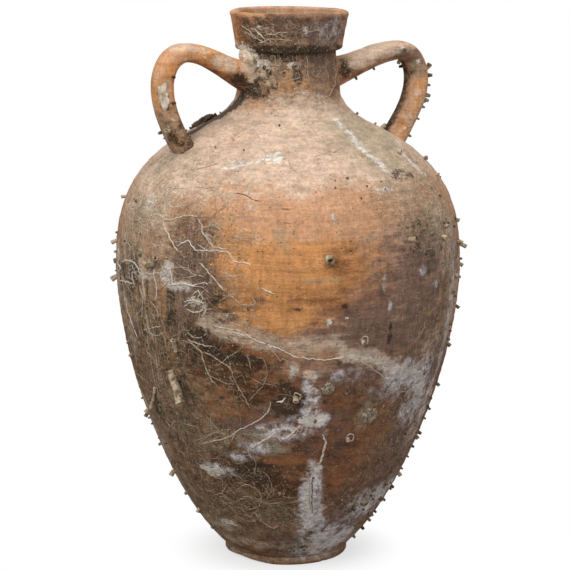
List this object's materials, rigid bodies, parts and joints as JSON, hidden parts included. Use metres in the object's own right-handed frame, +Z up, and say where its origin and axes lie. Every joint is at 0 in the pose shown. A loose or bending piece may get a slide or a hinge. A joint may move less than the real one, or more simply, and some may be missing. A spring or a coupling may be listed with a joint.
{
  "type": "transport amphora",
  "caption": "Flat-footed egg-shaped clay transport amphora with a short neck, a collar rim and two arched strap handles, overgrown with worm tubes and lime.",
  "frame": {"origin": "centre of the foot's flat underside", "axes": "+Z up along the vessel's axis, the two handles over the X axis, -Y the front"},
  "size_m": [0.3128, 0.3145, 0.5],
  "materials": {
    "fired_clay": "matt unglazed earthenware, stained orange, brown and purple grey by the sea",
    "handle_clay": "matt unglazed earthenware, pale orange to beige",
    "sea_lime": "chalky worm tube, shell and lime"
  },
  "bodies": {
    "root": {"foot": "fired_clay", "lower_body": "fired_clay", "upper_body": "fired_clay", "neck": "fired_clay", "rim_collar": "fired_clay", "left_handle": "handle_clay", "right_handle": "handle_clay", "worm_tube_01": "sea_lime", "worm_tube_02": "sea_lime", "worm_tube_03": "sea_lime", "worm_tube_04": "sea_lime", "worm_tube_05": "sea_lime", "worm_tube_06": "sea_lime", "worm_tube_07": "sea_lime", "worm_tube_08": "sea_lime", "worm_tube_09": "sea_lime", "worm_tube_10": "sea_lime", "worm_tube_11": "sea_lime", "worm_tube_12": "sea_lime", "worm_tube_13": "sea_lime", "worm_tube_14": "sea_lime", "worm_tube_15": "sea_lime", "worm_tube_16": "sea_lime", "worm_tube_17": "sea_lime", "worm_tube_18": "sea_lime", "worm_tube_19": "sea_lime", "worm_tube_20": "sea_lime", "worm_tube_21": "sea_lime", "worm_tube_22": "sea_lime", "worm_tube_23": "sea_lime", "worm_tube_24": "sea_lime", "worm_tube_25": "sea_lime", "worm_tube_26": "sea_lime", "worm_tube_27": "sea_lime", "worm_tube_28": "sea_lime", "worm_tube_29": "sea_lime", "worm_tube_30": "sea_lime", "worm_tube_31": "sea_lime", "worm_tube_32": "sea_lime", "worm_tube_33": "sea_lime", "worm_tube_34": "sea_lime", "worm_tube_35": "sea_lime", "worm_tube_36": "sea_lime", "creeping_tube_01": "sea_lime", "creeping_tube_02": "sea_lime", "creeping_tube_03": "sea_lime", "creeping_tube_04": "sea_lime", "creeping_tube_05": "sea_lime", "barnacle_01": "sea_lime", "barnacle_02": "sea_lime", "barnacle_03": "sea_lime", "limpet_01": "sea_lime", "lime_crust_01": "sea_lime", "lime_crust_02": "sea_lime", "lime_crust_03": "sea_lime"}
  },
  "joints": []
}
